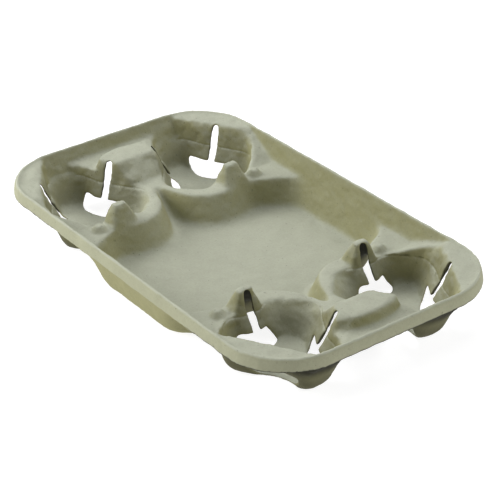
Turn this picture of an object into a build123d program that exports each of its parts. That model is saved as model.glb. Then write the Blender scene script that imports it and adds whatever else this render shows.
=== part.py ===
from build123d import *
from math import sqrt
import os

# Moulded pulp carrier tray, in millimetres, standing on the table at z = 0 with its length along X.
tray_height = 48.0
crest_length = 402.4
crest_width = 228.0
crest_corner = 53.0
pulp = 2.4

# Outer walls: how far each leans inwards for a millimetre of drop
end_lean = 0.45
side_lean = 0.3

# Skirt folded down outside the crest
skirt_drop = 11.4
skirt_flare = 2.0
crest_round = 2.2
crest_flat = 0.2

# Moulded levels: the feet's measured up from the floor, the others down from the crest
heel_rise = 4.6
window_rise = 11.1
ridge_drop = 20.0
ledge_drop = 12.5
slit_drop = 2.7
land_drop = 2.0
floor_height = pulp
heel_height = floor_height + heel_rise
window_height = floor_height + window_rise
ridge_height = tray_height - ridge_drop
ledge_height = tray_height - ledge_drop
slit_top = tray_height - slit_drop
land_height = tray_height - land_drop
levels = (floor_height, heel_height, ridge_height, tray_height)

# Room for one cup well, which every share below is a share of, and the well's centre
well_room = crest_width / 4
well_x_share = 1.074
well_y_share = 1.0175
well_x = crest_length / 2 - well_x_share * well_room
well_y = well_y_share * well_room

# Legs and ribs round a cup well as seen from its centre: where each points, then its reach and
# half width at the floor, at the heel of the feet, at the ridges and at the crest
end_turn = -3.0
rib_turn = 60.0
leg_turn = 134.0
food_rib_turn = 180.0
end_gap = (3.2, 1.3, 1.2, 1.2)
end_half_share = (0.167, 0.228, 0.298, 0.263)
long_reach_share = (0.702, 0.772, 0.825, 0.851)
long_half_share = (0.158, 0.219, 0.351, 0.456)
ridge_reach_share = (0.614, 0.675, 0.939, 1.018)
ridge_half_share = (0.158, 0.211, 0.368, 0.386)
side_rib_reach_share = (0.342, 0.368, 0.579, 0.719)
side_rib_half_share = (0.158, 0.158, 0.158, 0.246)
corner_rib_half_share = (0.158, 0.158, 0.158, 0.386)
food_rib_reach_share = (0.465, 0.5, 0.728, 0.816)
food_rib_half_share = (0.123, 0.123, 0.149, 0.114)
leg_round_share = (0.13, 0.18, 0.21, 0.21)
rib_round_share = (0.07, 0.07, 0.07, 0.07)

# Slits down the ribs and the windows between the feet
slit_width = 4.2
slit_depth = 6.5
window_radius_share = 0.544
window_reach_share = 0.807
window_bite = 1.0
foot_length = 5.5
foot_half_share = 0.351

# Food well between the cup wells: each place at its floor and at the ridges, with x back from
# the cup wells' centres and y from the middle of the tray
cusp_share = (0.684, 0.21)
bulge_x_share = (1.482, 1.21)
bulge_y_share = (0.386, 0.351)
notch_x_share = (1.202, 1.044)
notch_y_share = (1.263, 1.228)
wall_end_share = (1.55, 1.4)
cusp_round_share = 0.16
bulge_round_share = 0.62
notch_round_share = 0.12
food_corner_share = 0.22
food_bevel = 2.6

# Recess over the ridges, from the cup wells' centres: slopes up to the divider pads and ramps
# up to the corner lands
slope_foot_share = -0.105
slope_head_share = 0.228
slope_half_share = 0.526
ramp_foot_share = -0.79
ramp_head_share = -0.035

# Post on each ridge
post_food_share = (-1.079, -0.939)
post_half_share = (0.237, 0.114)
post_round_share = 0.053

# Divider pad's outer end, the ledge beyond it and the bay between a well and the end wall
pad_centre_share = -0.456
pad_radius_share = (1.184, 1.123)
pad_half_share = (0.561, 0.5)
pad_round_share = 0.175
ledge_start_share = 0.263
ledge_half_share = 0.842
bay_start_share = 0.825
bay_half_share = 0.21

# Share of a wall's growth that its corner rounding takes, share of a side that two roundings may
# take, and the flats that stand for a rounding
corner_share = 0.6
side_share = 0.9
bulge_count = 8
corner_count = 3
tight_count = 2


def slanted(distance, lean):
    """Level distance that moves a leaning wall out by a true distance."""
    return distance * sqrt(1 + lean**2)


def on_slope(z, sizes, low, high):
    """A size at height z, from its values at two heights."""
    return sizes[0] + (sizes[1] - sizes[0]) * (z - low) / (high - low)


def at_level(z, shares):
    """A size of the cup well at height z, from its shares at the four levels."""
    band = sum(z >= level for level in levels[1:-1])
    return well_room * on_slope(z, shares[band : band + 2], *levels[band : band + 2])


def end_wall(z):
    """Half the length of the space inside the outer walls at height z."""
    return crest_length / 2 - (tray_height - z) * end_lean


def side_wall(z):
    """Half the width of the space inside the outer walls at height z."""
    return crest_width / 2 - (tray_height - z) * side_lean


# The end leg reaches to its gap from the end wall
end_reach_share = [(end_wall(z) - well_x - gap) / well_room for z, gap in zip(levels, end_gap)]
legs = ((end_turn, end_reach_share), (leg_turn, long_reach_share), (-leg_turn, ridge_reach_share))
ribs = (
    (rib_turn, side_rib_reach_share),
    (-rib_turn, side_rib_reach_share),
    (food_rib_turn, food_rib_reach_share),
)


def spread(points, distance):
    """The same outline with every side moved out by a distance."""
    moved = []
    for before, here, after in zip(points[-1:] + points[:-1], points, points[1:] + points[:1]):
        first = (here - before).normalized().rotate(Axis.Z, -90)
        second = (after - here).normalized().rotate(Axis.Z, -90)
        moved.append(here + (first + second) * (distance / (1 + first.dot(second))))
    return moved


def soft_face(points, rounds):
    """Face in an outline whose corners are rounded off: how far from each corner, in how many flats."""
    nexts = points[1:] + points[:1]
    next_rounds = rounds[1:] + rounds[:1]
    fits = []
    for here, after, (setback, _), (next_setback, _) in zip(points, nexts, rounds, next_rounds):
        fits.append(min(1, side_share * (after - here).length / (setback + next_setback)))
    outline = []
    for number, (setback, count) in enumerate(rounds):
        here = points[number]
        reach = setback * min(fits[number - 1], fits[number])
        back = (points[number - 1] - here).normalized() * reach
        ahead = (nexts[number] - here).normalized() * reach
        for step in range(count + 1):
            share = step / count
            outline.append(here + back * (1 - share) ** 2 + ahead * share**2)
    return make_face(Polyline(*outline, close=True))


def pan_section(z, grow):
    """Level cut through the space inside the outer walls."""
    half_x = end_wall(z) + slanted(grow, end_lean)
    half_y = side_wall(z) + slanted(grow, side_lean)
    corner = crest_corner - (tray_height - z) * (end_lean + side_lean) / 2 + grow
    return Pos(0, 0, z) * RectangleRounded(2 * half_x, 2 * half_y, corner)


def pan(bottom, top, grow):
    """Space inside the outer walls between two heights."""
    return loft([pan_section(bottom, grow), pan_section(top, grow)], ruled=True)


def polar(turn, reach, offset):
    """Point at a reach along a direction and an offset across it."""
    return Vector(reach, offset).rotate(Axis.Z, turn)


def well_section(z, growth):
    """Level cut through a cup well: three round-cornered legs with a rib between each two."""
    leg = (at_level(z, leg_round_share) + corner_share * growth, corner_count)
    rib = (at_level(z, rib_round_share) - corner_share * growth, tight_count)
    corners = [
        (end_turn, end_reach_share, end_half_share, leg),
        (rib_turn, side_rib_reach_share, corner_rib_half_share, rib),
        (leg_turn, long_reach_share, long_half_share, leg),
        (food_rib_turn, food_rib_reach_share, food_rib_half_share, rib),
        (-leg_turn, ridge_reach_share, ridge_half_share, leg),
        (-rib_turn, side_rib_reach_share, side_rib_half_share, rib),
    ]
    points = []
    rounds = []
    for turn, reach, half, rounding in corners:
        points.append(polar(turn, at_level(z, reach), -at_level(z, half)))
        points.append(polar(turn, at_level(z, reach), at_level(z, half)))
        rounds += [rounding, rounding]
    return Pos(well_x, well_y, z) * soft_face(spread(points, growth), rounds)


def cup_well(grow, top):
    """Space inside a cup well, with a bevel round its feet."""
    bevel_growth = grow * sqrt(2)
    wall_growth = slanted(grow, end_lean)
    sections = [
        well_section(floor_height - grow, bevel_growth),
        well_section(heel_height - (bevel_growth - wall_growth) / (1 - end_lean), bevel_growth),
        well_section(ridge_height - grow, wall_growth),
        well_section(top, wall_growth),
    ]
    return loft(sections, ruled=True)


def food_section(z, growth):
    """Level cut through the food well, pinched by the four cup wells."""
    at = [well_room * on_slope(z, shares, floor_height, ridge_height) for shares in (
        cusp_share, bulge_x_share, bulge_y_share, notch_x_share, notch_y_share, wall_end_share
    )]
    inward = corner_share * growth
    cusp = Vector(well_x - at[0], 0)
    corners = [
        (Vector(well_x - at[1], at[2]), (bulge_round_share * well_room - inward, bulge_count)),
        (Vector(well_x - at[3], at[4]), (notch_round_share * well_room + inward, tight_count)),
        (Vector(well_x - at[5], side_wall(z)), (food_corner_share * well_room + inward, corner_count)),
    ]
    turned = corners[::-1]
    points = [cusp] + [here for here, _ in corners]
    points += [Vector(-here.X, here.Y) for here, _ in turned] + [cusp * -1]
    points += [here * -1 for here, _ in corners] + [Vector(here.X, -here.Y) for here, _ in turned]
    rounds = [rounding for _, rounding in corners]
    rounds = 2 * ([(cusp_round_share * well_room + inward, tight_count)] + rounds + rounds[::-1])
    return Pos(0, 0, z) * soft_face(spread(points, growth), rounds)


def food_well(grow):
    """Space inside the food well, up to just over the ridges, with a bevel round its floor."""
    growth = slanted(grow, side_lean)
    floor = floor_height - grow
    bevel = food_bevel + grow * (2 - sqrt(2))
    sections = [
        food_section(floor, growth - bevel),
        food_section(floor + bevel, growth),
        food_section(ridge_height + pulp, growth),
    ]
    return loft(sections, ruled=True)


def gallery(foot_share, head_share, half_width, grow):
    """Trough along X with a level floor at ridge height and sloping ends."""
    above = tray_height + 2 * crest_round
    foot = well_x + foot_share * well_room
    end = on_slope(above, (foot, well_x + head_share * well_room), ridge_height, land_height)
    low = [Vector(-foot, ridge_height), Vector(foot, ridge_height)]
    high = [Vector(end, above), Vector(-end, above)]
    face = make_face(Polyline(*spread(low + high, grow), close=True))
    return extrude(Plane.XZ * face, half_width, both=True)


def post(grow):
    """Tapered post standing on a ridge."""
    well_side = well_x - food_rib_reach_share[0] * well_room
    sections = []
    for z in (ridge_height - 2 * pulp, tray_height + crest_round):
        food_side = well_x + well_room * on_slope(z, post_food_share, ridge_height, land_height)
        half = well_room * on_slope(z, post_half_share, ridge_height, land_height)
        food_corners = [Vector(food_side, half), Vector(food_side, -half)]
        well_corners = [Vector(well_side, -half), Vector(well_side, half)]
        corners = spread(food_corners + well_corners, -slanted(grow, end_lean))
        rounding = (post_round_share * well_room - corner_share * grow, tight_count)
        sections.append(Pos(0, well_y, z) * soft_face(corners, 4 * [rounding]))
    return loft(sections, ruled=True)


def pad_section(z, grow):
    """Level cut through a divider pad's round outer end."""
    inset = slanted(grow, end_lean)
    radius = well_room * on_slope(z, pad_radius_share, ledge_height, land_height) - inset
    half = well_room * on_slope(z, pad_half_share, ledge_height, land_height) - inset
    face = Pos(well_x + pad_centre_share * well_room, 0) * Circle(radius)
    face &= Rectangle(2 * crest_length, 2 * half)
    return Pos(0, 0, z) * fillet(face.vertices().group_by(Axis.X)[-1], pad_round_share * well_room)


def end_ledge(grow, top):
    """Space over the ledge between a divider pad and the end wall."""
    floor = ledge_height - grow
    start = well_x + ledge_start_share * well_room
    size = (crest_length / 2 - start, ledge_half_share * well_room, top - floor)
    block = Pos(start, 0, floor) * Box(*size, align=Align.MIN)
    return block - loft([pad_section(floor - 1, grow), pad_section(top + 1, grow)], ruled=True)


def end_bay(grow, top):
    """Space that carries the end wall straight up beside a well."""
    floor = ridge_height - grow
    start = well_x + bay_start_share * well_room
    half = bay_half_share * well_room + grow
    size = (crest_length / 2 - start, 2 * half, top - floor)
    return Pos(start, well_y - half, floor) * Box(*size, align=Align.MIN)


def quarter(shape):
    """The part of a shape in the quarter where x and y are positive."""
    span = crest_length
    return shape & Pos(0, 0, -span / 2) * Box(span, span, span, align=Align.MIN)


def mould(grow, top):
    """A quarter of the space above the tray's upper side, with its walls moved out by a distance."""
    inside = quarter(pan(ridge_height - grow, top, grow))
    trough = gallery(slope_foot_share, slope_head_share, slope_half_share * well_room, grow)
    ramps = gallery(ramp_foot_share, ramp_head_share, crest_width, grow)
    over = (trough + ramps - post(grow)) & inside
    ends = (end_ledge(grow, top) + end_bay(grow, top)) & inside
    lands = quarter(pan(land_height - grow, top, grow))
    return over.fuse(quarter(food_well(grow)), lands, ends, quarter(cup_well(grow, top)))


def skirt_section(z, inset):
    """Level cut through the skirt's outer side, moved in by a distance."""
    out = slanted(pulp, end_lean) + crest_flat + (tray_height - z) / skirt_drop * skirt_flare - inset
    return Pos(0, 0, z) * RectangleRounded(
        crest_length + 2 * out, crest_width + 2 * out, crest_corner + out
    )


def skirt():
    """Folded rim: an outer skin down from a rounded crest, open below."""
    foot = tray_height - skirt_drop
    shoulder = crest_round * (1 - sqrt(0.5))
    outer_sections = [
        skirt_section(foot, 0),
        skirt_section(tray_height - crest_round, 0),
        skirt_section(tray_height - shoulder, shoulder),
        skirt_section(tray_height, crest_round),
    ]
    inner_sections = [skirt_section(foot - 1, pulp), skirt_section(tray_height - pulp, pulp)]
    return quarter(loft(outer_sections, ruled=True) - loft(inner_sections, ruled=True))


def slit(turn, reach_share):
    """Cutter for the slit down a rib's leaning face."""
    sections = []
    for z in (heel_height, ridge_height, slit_top):
        middle = Pos(at_level(z, reach_share) + pulp / 2, 0) * Rectangle(slit_depth, slit_width)
        sections.append(Pos(well_x, well_y, z) * Rot(0, 0, turn) * middle)
    return loft(sections, ruled=True)


def windows():
    """Cutters for the windows between a well's three feet."""
    radius = window_radius_share * well_room
    reach = window_reach_share * well_room
    face = Sketch()
    for turn, shares in ribs:
        face += Rot(0, 0, turn) * Pos(shares[0] * well_room - window_bite + radius, 0) * Circle(radius)
    face &= Circle(reach)
    for turn, shares in legs:
        keep = Rectangle(reach, 2 * foot_half_share * well_room)
        face -= Rot(0, 0, turn) * Pos(shares[1] * well_room - foot_length + reach / 2, 0) * keep
    return extrude(Pos(well_x, well_y, -1) * face, window_height + 1)


space = mould(0, tray_height + crest_round)
backed = mould(pulp, tray_height - 0.8 * pulp)
cutters = windows().fuse(*[slit(*rib) for rib in ribs])
tray = skirt() + backed - space - cutters
tray += mirror(tray, Plane.YZ)
tray += mirror(tray, Plane.XZ)

os.makedirs("parts", exist_ok=True)
export_step(tray, "parts/carrier_tray.step")
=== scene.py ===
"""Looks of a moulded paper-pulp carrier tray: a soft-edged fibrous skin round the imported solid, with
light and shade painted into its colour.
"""
import math

import bpy
from mathutils import Matrix, Vector


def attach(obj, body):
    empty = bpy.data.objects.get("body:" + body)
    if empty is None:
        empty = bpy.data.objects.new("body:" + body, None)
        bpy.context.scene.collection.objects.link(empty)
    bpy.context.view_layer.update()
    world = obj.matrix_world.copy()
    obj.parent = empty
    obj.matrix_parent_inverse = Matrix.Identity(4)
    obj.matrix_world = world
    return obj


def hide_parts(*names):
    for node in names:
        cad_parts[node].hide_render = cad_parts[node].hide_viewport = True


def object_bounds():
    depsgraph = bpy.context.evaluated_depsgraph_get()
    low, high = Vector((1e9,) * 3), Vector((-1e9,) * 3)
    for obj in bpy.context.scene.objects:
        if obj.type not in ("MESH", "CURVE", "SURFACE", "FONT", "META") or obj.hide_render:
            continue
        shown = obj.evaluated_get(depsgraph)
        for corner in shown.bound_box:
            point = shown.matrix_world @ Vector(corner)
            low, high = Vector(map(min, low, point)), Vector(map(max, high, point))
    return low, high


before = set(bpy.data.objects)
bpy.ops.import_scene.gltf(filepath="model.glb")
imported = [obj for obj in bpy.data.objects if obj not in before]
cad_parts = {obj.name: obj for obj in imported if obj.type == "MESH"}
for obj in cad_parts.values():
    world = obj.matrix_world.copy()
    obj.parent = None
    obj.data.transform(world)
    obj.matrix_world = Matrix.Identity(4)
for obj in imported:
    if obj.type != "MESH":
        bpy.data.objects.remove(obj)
cad_low, cad_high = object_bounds()

MM = 0.001

# Studio: a floor that glows a little, dim surroundings and softboxes that all face the tray, each
# with its turn from +X and its height angle in degrees, its size in metres and its power in watts
FLOOR_HALF = 6.0
FLOOR_GLOW = 0.88
FLOOR_SHADE = 0.3
FLOOR_ROUGHNESS = 0.8
SURROUNDINGS = 0.02
SOFTBOX_DISTANCE = 2.0
SOFTBOXES = {
    "left": (225, 27, 1.2, 30),
    "behind left": (150, 55, 1.2, 26),
    "behind right": (45, 25, 1.2, 16),
    "front": (250, 25, 1.2, 9),
    "right": (0, 45, 1.2, 2.5),
    "top": (0, 90, 1.2, 9),
}

# Camera: the photograph's own angle, found from the rim's long and short sides
CAMERA_AZIMUTH = math.radians(54.6)
CAMERA_ELEVATION = math.radians(30.04)
CAMERA_ROLL = math.radians(-1.79)
CAMERA_DISTANCE = 1434 * MM
CAMERA_AIM = Vector((16.7, 1.1, 25.1)) * MM
SENSOR = 36.0
LENS = 124.9

# Sheet: how the moulded skin is softened, fully from some way inside the rim's crest, which the skirt
# reaches past, and the cup wells' centres
WELD_DISTANCE = 0.002 * MM
VOXEL = 0.9 * MM
SOFTENING_PASSES = 70
SOFTENING_SHARE = 0.5
RIM_SOFTENING = 0.2
RIM_BLEND = 5 * MM
SKIRT_REACH = 4.8318 * MM
RIM_HALF_X = cad_high[0] - SKIRT_REACH
RIM_HALF_Y = cad_high[1] - SKIRT_REACH
RIM_CORNER = 53 * MM
WELL_X = 140 * MM
WELL_Y = 58 * MM
TRIANGLES = 185000

# Noise keeps near its middle, so its swing is widened to reach about the height that is asked for
NOISE_SPREAD = 4.0

# Relief: slow lumps of uneven felting, small pimples, the mould's joint line inside each cup well
# and a knob on each ridge. Lumps grow on the wells' walls, knobs only on what is high enough
RELIEF = {
    "Lump Height": 0.4 * MM,
    "Lump Size": 16 * MM,
    "Pimple Height": 0.12 * MM,
    "Pimple Size": 4 * MM,
    "Well X": WELL_X,
    "Well Y": WELL_Y,
    "Well Radius": 50 * MM,
    "Well Reach": 65 * MM,
    "Well Lumps": 1.6,
    "Wall Start": 16 * MM,
    "Wall Full": 24 * MM,
    "Line Depth": 0.5 * MM,
    "Line Half Width": 0.8 * MM,
    "Line Level": 27 * MM,
    "Knob X": 86 * MM,
    "Knob Y": 81 * MM,
    "Knob Radius": 8.5 * MM,
    "Knob Top Share": 0.25,
    "Knob Height": 5 * MM,
    "Ridge Start": 20 * MM,
    "Ridge Full": 24 * MM,
}

# Lowest place that relief may move a point to: the floor, and far beyond the tray to its sides
LOWEST = (-1, -1, 0)

# Pulp: faces that look up are painted pale and greyish as lit faces, and walls darker and more olive as
# shaded ones; this split is painted light and shade
LIT_TOP_COLOUR = (0.345, 0.357, 0.282, 1)
SHADED_SIDE_COLOUR = (0.277, 0.268, 0.138, 1)
LOOK = {
    # Painted shade: the share of the colour kept high under the sheet, on the feet, on the slits' cut
    # edges and in the cup wells; Rim Light brightens the rim as a painted highlight
    "Underside Shade": 0.08,
    "Foot Shade": 0.48,
    "Slit Shade": 0.3,
    "Well Shade": 0.72,
    "Rim Light": 1.12,
    "Mottle": 0.04,
    "Mottle Size": 14 * MM,
    "Fibre": 0.06,
    "Fibre Size": 1.6 * MM,
    "Fleck": 0.35,
    "Fleck Size": 2.4 * MM,
}
SPECULAR = 0.25
BUMP_STRENGTH = 0.6
BUMP_DISTANCE = 0.25 * MM

# Where a tone of the pulp, painted light and shade or its flecks and fibres, starts and where it is full.
# A tilt is 1 on a face that looks up, and the pan is the food well, whose outer walls are spared the
# underside's painted shade
TOP_TILT = (0.1, 0.95)
UNDERSIDE_TILT = (0.1, -0.35)
UNDERSIDE_LEVEL = (14 * MM, 26 * MM)
# Painted shade on the cup wells' walls: how steep, how low and how near a well's centre
WELL_TILT = (0.85, 0.5)
WELL_LEVEL = (46 * MM, 36 * MM)
WELL_EDGE = (50 * MM, 43 * MM)
# The rim's band is painted lighter and toward the top colour, a painted highlight
RIM_BAND = (RIM_CORNER - 1 * MM, RIM_CORNER + 2 * MM)
RIM_TOP_SHARE = 0.55
PAN_HALF_X = (105 * MM, 90 * MM)
PAN_WALL = (22 * MM, 30 * MM)
FLECK_BAND = (0.66, 0.74)
FIBRE_BAND = (0.3, 0.7)
ROUGHNESS = (0.82, 0.92)

# Painted shade darkens the slits' cut edges
# Slits of the back right cup well: the turn of each from +X as seen from the well's centre, then how
# near a slit's middle, how far out and how squarely to the slit the cut edges lie
SLIT_TURNS = (math.radians(60), math.radians(-60), math.radians(180))
SLIT_HALF = (4.6 * MM, 3.4 * MM)
SLIT_START = (12 * MM, 18 * MM)
SLIT_END = (56 * MM, 50 * MM)
SLIT_TILT = (0.35, 0.7)


def applied(piece):
    """The piece with its modifiers made real."""
    depsgraph = bpy.context.evaluated_depsgraph_get()
    mesh = bpy.data.meshes.new_from_object(piece.evaluated_get(depsgraph))
    old = piece.data
    piece.modifiers.clear()
    piece.data = mesh
    mesh.name = piece.name
    bpy.data.meshes.remove(old)
    return piece


def merged_copy(node, name):
    """A copy of a CAD node's loose triangles as one closed skin."""
    piece = bpy.data.objects.new(name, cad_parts[node].data.copy())
    bpy.context.scene.collection.objects.link(piece)
    piece.data.materials.clear()
    weld = piece.modifiers.new("weld", "WELD")
    weld.merge_threshold = WELD_DISTANCE
    return applied(piece)


def outside_rim(point):
    """How far a point lies outside the rim's crest as seen from above."""
    x = max(abs(point[0]) - RIM_HALF_X + RIM_CORNER, 0)
    y = max(abs(point[1]) - RIM_HALF_Y + RIM_CORNER, 0)
    return math.hypot(x, y) - RIM_CORNER


def soften(piece):
    """Rounds every edge of the sheet as felted pulp does, and the rim's less."""
    remesh = piece.modifiers.new("even skin", "REMESH")
    remesh.mode = "VOXEL"
    remesh.voxel_size = VOXEL
    applied(piece)
    group = piece.vertex_groups.new(name="soft")
    shares = {}
    for vertex in piece.data.vertices:
        inside = min(1, max(0, -outside_rim(vertex.co) / RIM_BLEND))
        share = round(RIM_SOFTENING + (1 - RIM_SOFTENING) * inside, 1)
        shares.setdefault(share, []).append(vertex.index)
    for share, numbers in shares.items():
        group.add(numbers, share, "REPLACE")
    smooth = piece.modifiers.new("soft edges", "SMOOTH")
    smooth.vertex_group = "soft"
    smooth.factor = SOFTENING_SHARE
    smooth.iterations = SOFTENING_PASSES
    applied(piece)


def thin_out(piece):
    """Fewer triangles where the sheet is flat."""
    triangles = sum(len(face.vertices) - 2 for face in piece.data.polygons)
    decimate = piece.modifiers.new("fewer faces", "DECIMATE")
    decimate.ratio = min(1.0, TRIANGLES / triangles)
    applied(piece)


class Builder:
    """Short way to add and join nodes in one tree."""

    def __init__(self, tree):
        self.tree = tree

    def add(self, kind, **settings):
        """A new node with its settings."""
        made = self.tree.nodes.new(kind)
        for name, value in settings.items():
            setattr(made, name, value)
        return made

    def feed(self, socket, value):
        """Puts a number, a colour or another node's output into a socket."""
        if isinstance(value, bpy.types.NodeSocket):
            self.tree.links.new(value, socket)
        else:
            socket.default_value = value

    def math(self, operation, *values):
        """A math node's result."""
        made = self.add("ShaderNodeMath", operation=operation)
        for socket, value in zip(made.inputs, values):
            self.feed(socket, value)
        return made.outputs[0]

    def vector(self, operation, vector, other):
        """A vector math node's result. What scales is a number, any other value is a vector."""
        made = self.add("ShaderNodeVectorMath", operation=operation)
        self.feed(made.inputs[0], vector)
        self.feed(made.inputs["Scale" if operation == "SCALE" else 1], other)
        return made.outputs[0]

    def times(self, first, *others):
        """The product of several values."""
        for other in others:
            first = self.math("MULTIPLY", first, other)
        return first

    def distance(self, along, across):
        """How far off a point is, from how far it is along and across."""
        squares = self.math("ADD", self.math("POWER", along, 2.0), self.math("POWER", across, 2.0))
        return self.math("SQRT", squares)

    def noise(self, place, size, detail=2.0):
        """Noise from 0 to 1 whose grains are about that size."""
        made = self.add("ShaderNodeTexNoise")
        self.feed(made.inputs["Vector"], place)
        self.feed(made.inputs["Scale"], self.math("DIVIDE", 1.0, size))
        made.inputs["Detail"].default_value = detail
        return made.outputs[0]

    def swing(self, noise, height):
        """Noise turned into a swing to both sides of zero, about that high."""
        return self.times(self.math("SUBTRACT", noise, 0.5), NOISE_SPREAD, height)

    def ramp(self, value, low, high, start=0.0, end=1.0):
        """A value that goes smoothly from start to end between two limits."""
        made = self.add("ShaderNodeMapRange", interpolation_type="SMOOTHSTEP")
        values = {"Value": value, "From Min": low, "From Max": high, "To Min": start, "To Max": end}
        for name, number in values.items():
            self.feed(made.inputs[name], number)
        return made.outputs["Result"]

    def mix(self, share, first, second):
        """A colour that goes from the first to the second as the share goes from 0 to 1."""
        made = self.add("ShaderNodeMix", data_type="RGBA")
        for name, value in {"Factor": share, "A": first, "B": second}.items():
            self.feed(made.inputs[name], value)
        return made.outputs["Result"]

    def parts(self, vector):
        """A vector's x, y and z."""
        made = self.add("ShaderNodeSeparateXYZ")
        self.feed(made.inputs[0], vector)
        return made.outputs

    def in_quarter(self, place, normal):
        """A point's x, y and z and its normal's, moved by mirroring into the back right quarter."""
        x, y, z = self.parts(place)
        tilt_x, tilt_y, tilt_z = self.parts(normal)
        tilt_x = self.math("MULTIPLY", tilt_x, self.math("SIGN", x))
        tilt_y = self.math("MULTIPLY", tilt_y, self.math("SIGN", y))
        return (self.math("ABSOLUTE", x), self.math("ABSOLUTE", y), z), (tilt_x, tilt_y, tilt_z)


def new_tree(name, kind, inputs, outputs):
    """A node tree with named inputs and outputs: builder, the inputs' and the outputs' sockets."""
    tree = bpy.data.node_groups.new(name, kind)
    for direction, sockets in (("INPUT", inputs), ("OUTPUT", outputs)):
        for label, socket_type in sockets.items():
            tree.interface.new_socket(label, in_out=direction, socket_type=socket_type)
    builder = Builder(tree)
    return builder, builder.add("NodeGroupInput").outputs, builder.add("NodeGroupOutput").inputs


def felted(make, given, place, z, from_well):
    """How far uneven felting lifts the sheet."""
    lumps = make.swing(make.noise(place, given["Lump Size"]), given["Lump Height"])
    pimples = make.swing(make.noise(place, given["Pimple Size"]), given["Pimple Height"])
    near_well = make.ramp(from_well, given["Well Reach"], given["Well Radius"])
    near_well = make.times(near_well, make.ramp(z, given["Wall Start"], given["Wall Full"]))
    more = make.math("ADD", 1.0, make.times(near_well, given["Well Lumps"]))
    return make.math("ADD", make.times(lumps, more), pimples)


def joint_line(make, given, z, from_well, along, across, tilt):
    """How deep the mould's joint line is pressed into the inner side of a cup well."""
    off_line = make.math("ABSOLUTE", make.math("SUBTRACT", z, given["Line Level"]))
    groove = make.ramp(off_line, 0.0, given["Line Half Width"], 1.0, 0.0)
    outward = make.math("ADD", make.times(tilt[0], along), make.times(tilt[1], across))
    in_well = make.math("LESS_THAN", from_well, given["Well Radius"])
    inside = make.times(in_well, make.math("LESS_THAN", outward, 0.0))
    return make.times(groove, inside, given["Line Depth"])


def ridge_knob(make, given, x, y, z):
    """How high the knob on a ridge stands."""
    beside = make.math("SUBTRACT", x, given["Knob X"])
    beyond = make.math("SUBTRACT", y, given["Knob Y"])
    top = make.times(given["Knob Radius"], given["Knob Top Share"])
    knob = make.ramp(make.distance(beside, beyond), given["Knob Radius"], top)
    return make.times(knob, make.ramp(z, given["Ridge Start"], given["Ridge Full"]), given["Knob Height"])


def relief_tree():
    """Geometry tree that roughens a sheet, marks its wells, adds its knobs and keeps it off the floor."""
    floats = {label: "NodeSocketFloat" for label in RELIEF}
    inputs = {"Geometry": "NodeSocketGeometry", "Material": "NodeSocketMaterial", **floats}
    outputs = {"Geometry": "NodeSocketGeometry"}
    make, given, result = new_tree("pulp relief", "GeometryNodeTree", inputs, outputs)
    place = make.add("GeometryNodeInputPosition").outputs[0]
    normal = make.add("GeometryNodeInputNormal").outputs[0]
    (x, y, z), tilt = make.in_quarter(place, normal)
    along = make.math("SUBTRACT", x, given["Well X"])
    across = make.math("SUBTRACT", y, given["Well Y"])
    from_well = make.distance(along, across)
    lift = felted(make, given, place, z, from_well)
    groove = joint_line(make, given, z, from_well, along, across, tilt)
    offset = make.vector("SCALE", normal, make.math("SUBTRACT", lift, groove))
    raised = make.add("ShaderNodeCombineXYZ")
    make.feed(raised.inputs["Z"], ridge_knob(make, given, x, y, z))
    moved = make.add("GeometryNodeSetPosition")
    make.feed(moved.inputs["Geometry"], given["Geometry"])
    make.feed(moved.inputs["Offset"], make.vector("ADD", offset, raised.outputs[0]))
    standing = make.add("GeometryNodeSetPosition")
    make.feed(standing.inputs["Geometry"], moved.outputs[0])
    make.feed(standing.inputs["Position"], make.vector("MAXIMUM", place, LOWEST))
    real = make.add("GeometryNodeRealizeInstances")
    make.feed(real.inputs[0], standing.outputs[0])
    painted = make.add("GeometryNodeSetMaterial")
    make.feed(painted.inputs["Geometry"], real.outputs[0])
    make.feed(painted.inputs["Material"], given["Material"])
    make.feed(result["Geometry"], painted.outputs[0])
    return make.tree


def roughen(piece, material):
    """Gives the sheet its relief and its material."""
    tree = relief_tree()
    modifier = piece.modifiers.new("relief", "NODES")
    modifier.node_group = tree
    values = {"Material": material, **RELIEF}
    for item in tree.interface.items_tree:
        if item.in_out == "INPUT" and item.name in values:
            modifier[item.identifier] = values[item.name]
    applied(piece)


def camera():
    """The photograph's camera."""
    back = Vector((
        math.sin(CAMERA_AZIMUTH) * math.cos(CAMERA_ELEVATION),
        -math.cos(CAMERA_AZIMUTH) * math.cos(CAMERA_ELEVATION),
        math.sin(CAMERA_ELEVATION),
    ))
    level = Vector((math.cos(CAMERA_AZIMUTH), math.sin(CAMERA_AZIMUTH), 0))
    upright = back.cross(level)
    right = level * math.cos(CAMERA_ROLL) + upright * math.sin(CAMERA_ROLL)
    up = back.cross(right)
    data = bpy.data.cameras.new("camera")
    data.sensor_width = SENSOR
    data.lens = LENS
    made = bpy.data.objects.new("camera", data)
    turn = Matrix((right, up, back)).transposed().to_4x4()
    made.matrix_world = Matrix.Translation(CAMERA_AIM + back * CAMERA_DISTANCE) @ turn
    bpy.context.scene.collection.objects.link(made)
    bpy.context.scene.camera = made


def floor():
    """Plain pale floor."""
    mesh = bpy.data.meshes.new("floor")
    corners = [(x * FLOOR_HALF, y * FLOOR_HALF, 0) for x, y in ((-1, -1), (1, -1), (1, 1), (-1, 1))]
    mesh.from_pydata(corners, [], [(0, 1, 2, 3)])
    made = bpy.data.objects.new("floor", mesh)
    material = bpy.data.materials.new("pale floor")
    material.use_nodes = True
    shader = material.node_tree.nodes["Principled BSDF"]
    shader.inputs["Base Color"].default_value = (FLOOR_SHADE, FLOOR_SHADE, FLOOR_SHADE, 1)
    shader.inputs["Roughness"].default_value = FLOOR_ROUGHNESS
    shader.inputs["Emission Color"].default_value = (1, 1, 1, 1)
    shader.inputs["Emission Strength"].default_value = FLOOR_GLOW
    mesh.materials.append(material)
    bpy.context.scene.collection.objects.link(made)


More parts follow.
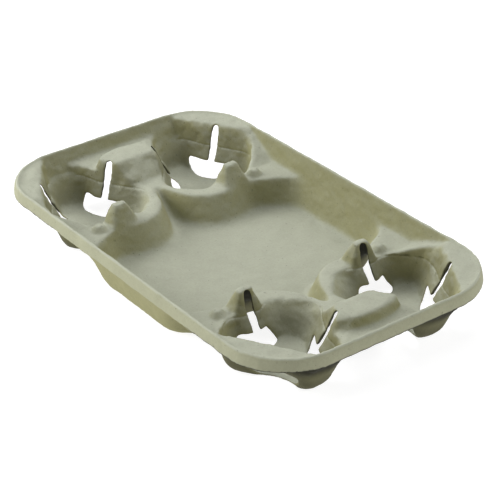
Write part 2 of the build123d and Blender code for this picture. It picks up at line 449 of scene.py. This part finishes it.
def softbox(name, turn, height, size, watts):
    """A square area light that faces the tray."""
    turn, height = math.radians(turn), math.radians(height)
    level = math.cos(height)
    place = Vector((math.cos(turn) * level, math.sin(turn) * level, math.sin(height))) * SOFTBOX_DISTANCE
    data = bpy.data.lights.new(name, "AREA")
    data.shape = "SQUARE"
    data.size = size
    data.energy = watts
    made = bpy.data.objects.new(name, data)
    made.location = place
    made.rotation_euler = place.to_track_quat("Z", "Y").to_euler()
    bpy.context.scene.collection.objects.link(made)


def lights():
    """Soft studio light."""
    world = bpy.data.worlds.new("studio")
    world.use_nodes = True
    world.node_tree.nodes["Background"].inputs["Color"].default_value = (1, 1, 1, 1)
    world.node_tree.nodes["Background"].inputs["Strength"].default_value = SURROUNDINGS
    bpy.context.scene.world = world
    bpy.context.scene.view_settings.view_transform = "Standard"
    for name, values in SOFTBOXES.items():
        softbox(name, *values)


def slit_edges(make, along, across, from_well, tilt):
    """Mask that is 1 on the cut edges of a cup well's slits, where painted shade goes."""
    edges = 0.0
    for turn in SLIT_TURNS:
        ahead_x, ahead_y = math.cos(turn), math.sin(turn)
        beside = make.math("SUBTRACT", make.times(along, ahead_y), make.times(across, ahead_x))
        outwards = make.math("ADD", make.times(along, ahead_x), make.times(across, ahead_y))
        facing = make.math("SUBTRACT", make.times(tilt[0], ahead_y), make.times(tilt[1], ahead_x))
        near = make.ramp(make.math("ABSOLUTE", beside), *SLIT_HALF)
        edge = make.times(near, make.ramp(outwards, *SLIT_START))
        edge = make.times(edge, make.ramp(make.math("ABSOLUTE", facing), *SLIT_TILT))
        edges = make.math("MAXIMUM", edges, edge)
    return make.times(edges, make.ramp(from_well, *SLIT_END))


def dimmed(make, shade, mask, share):
    """A shade that is cut to a share of itself where a mask is 1."""
    lost = make.times(mask, make.math("SUBTRACT", 1.0, share))
    return make.times(shade, make.math("SUBTRACT", 1.0, lost))


def look_group():
    """Shader group for pulp: its colour painted lit on faces that look up and shaded on walls, painted
    shade under the sheet, in the cup wells and on slit edges, a painted highlight on the rim, mottle,
    fibres and flecks.
    """
    inputs = {"Lit Top Colour": "NodeSocketColor", "Shaded Side Colour": "NodeSocketColor"}
    inputs.update({label: "NodeSocketFloat" for label in LOOK})
    outputs = {"Colour": "NodeSocketColor", "Roughness": "NodeSocketFloat", "Height": "NodeSocketFloat"}
    make, given, result = new_tree("pulp look", "ShaderNodeTree", inputs, outputs)
    texture = make.add("ShaderNodeTexCoord").outputs
    place = texture["Object"]
    (x, y, z), tilt = make.in_quarter(place, texture["Normal"])
    upward = tilt[2]

    # Painted light and shade: the lit top colour on faces that look up and on the rim's band, the shaded
    # side colour on walls
    past_x = make.math("MAXIMUM", make.math("SUBTRACT", x, RIM_HALF_X - RIM_CORNER), 0.0)
    past_y = make.math("MAXIMUM", make.math("SUBTRACT", y, RIM_HALF_Y - RIM_CORNER), 0.0)
    rim = make.ramp(make.distance(past_x, past_y), *RIM_BAND)
    top = make.math("MAXIMUM", make.ramp(upward, *TOP_TILT), make.times(rim, RIM_TOP_SHARE))
    colour = make.mix(top, given["Shaded Side Colour"], given["Lit Top Colour"])

    # Painted shade on faces that look down, deepest high under the sheet and less on the feet, sparing
    # the food well's outer walls
    pan_wall = make.times(make.ramp(x, *PAN_HALF_X), make.ramp(past_y, *PAN_WALL))
    underside = make.times(make.ramp(upward, *UNDERSIDE_TILT), make.math("SUBTRACT", 1.0, pan_wall))
    underside_shade = make.ramp(z, *UNDERSIDE_LEVEL, given["Foot Shade"], given["Underside Shade"])
    along = make.math("SUBTRACT", x, WELL_X)
    across = make.math("SUBTRACT", y, WELL_Y)
    from_well = make.distance(along, across)
    # Painted shade on the cup wells' walls
    well = make.times(make.ramp(z, *WELL_LEVEL), make.ramp(upward, *WELL_TILT))
    well = make.times(well, make.ramp(from_well, *WELL_EDGE))
    # Painted shade on the slits' cut edges
    slits = slit_edges(make, along, across, from_well, tilt)

    fibre = make.noise(place, given["Fibre Size"], detail=3.0)
    mottle = make.noise(place, given["Mottle Size"], detail=3.0)
    fleck = make.ramp(make.noise(place, given["Fleck Size"], detail=4.0), *FLECK_BAND)
    uneven = make.math("ADD", make.swing(mottle, given["Mottle"]), make.swing(fibre, given["Fibre"]))
    # A painted highlight on the rim's band, then mottle and fibres
    shade = make.math("ADD", make.ramp(rim, 0.0, 1.0, 1.0, given["Rim Light"]), uneven)
    shade = make.times(shade, make.math("SUBTRACT", 1.0, make.times(fleck, given["Fleck"])))
    # The painted shades: under the sheet and on the feet, in the cup wells and on the slits' cut edges
    shade = dimmed(make, shade, underside, underside_shade)
    shade = dimmed(make, shade, well, given["Well Shade"])
    shade = dimmed(make, shade, slits, given["Slit Shade"])

    make.feed(result["Colour"], make.vector("SCALE", colour, shade))
    make.feed(result["Roughness"], make.ramp(fibre, *FIBRE_BAND, *ROUGHNESS))
    make.feed(result["Height"], fibre)
    return make.tree


def pulp():
    """Matte moulded paper pulp."""
    material = bpy.data.materials.new("moulded pulp")
    material.use_nodes = True
    make = Builder(material.node_tree)
    shader = material.node_tree.nodes["Principled BSDF"]
    shader.inputs["Specular IOR Level"].default_value = SPECULAR
    look = make.add("ShaderNodeGroup", node_tree=look_group())
    for label, value in {"Lit Top Colour": LIT_TOP_COLOUR, "Shaded Side Colour": SHADED_SIDE_COLOUR, **LOOK}.items():
        look.inputs[label].default_value = value
    bump = make.add("ShaderNodeBump")
    bump.inputs["Strength"].default_value = BUMP_STRENGTH
    bump.inputs["Distance"].default_value = BUMP_DISTANCE
    make.feed(bump.inputs["Height"], look.outputs["Height"])
    make.feed(shader.inputs["Base Color"], look.outputs["Colour"])
    make.feed(shader.inputs["Roughness"], look.outputs["Roughness"])
    make.feed(shader.inputs["Normal"], bump.outputs[0])
    return material


def tray():
    """The whole carrier as one moulded sheet."""
    piece = merged_copy("carrier_tray", "pulp_tray")
    material = pulp()
    soften(piece)
    roughen(piece, material)
    thin_out(piece)
    for face in piece.data.polygons:
        face.use_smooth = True
    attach(piece, "root")
    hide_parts("carrier_tray")


camera()
floor()
lights()
tray()
